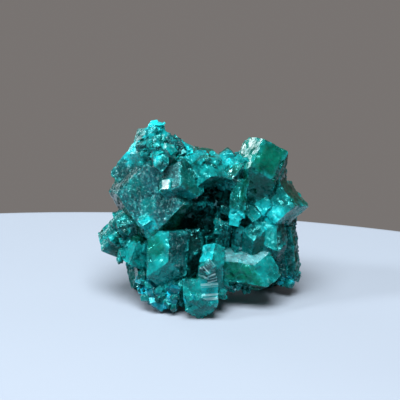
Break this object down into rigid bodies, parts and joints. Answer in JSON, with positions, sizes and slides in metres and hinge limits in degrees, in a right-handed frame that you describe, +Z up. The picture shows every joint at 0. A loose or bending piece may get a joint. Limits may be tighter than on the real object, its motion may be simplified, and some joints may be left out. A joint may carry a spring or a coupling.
{
  "type": "dioptase crystal cluster",
  "caption": "Small free-standing cluster of stout emerald-green dioptase crystals grown together, with a dark hollow in its front, resting on flats cut on its lowest crystals.",
  "frame": {"origin": "on the surface that the cluster stands on, under the middle of its bounding box", "axes": "+X along the cluster's longest side, to the right as the picture sees it; +Y away from the picture's camera; +Z up"},
  "size_m": [0.028, 0.022, 0.0252],
  "materials": {
    "dioptase": "glassy emerald green crystal, part frosted"
  },
  "bodies": {
    "root": {"dioptase_cluster": "dioptase"}
  },
  "joints": []
}
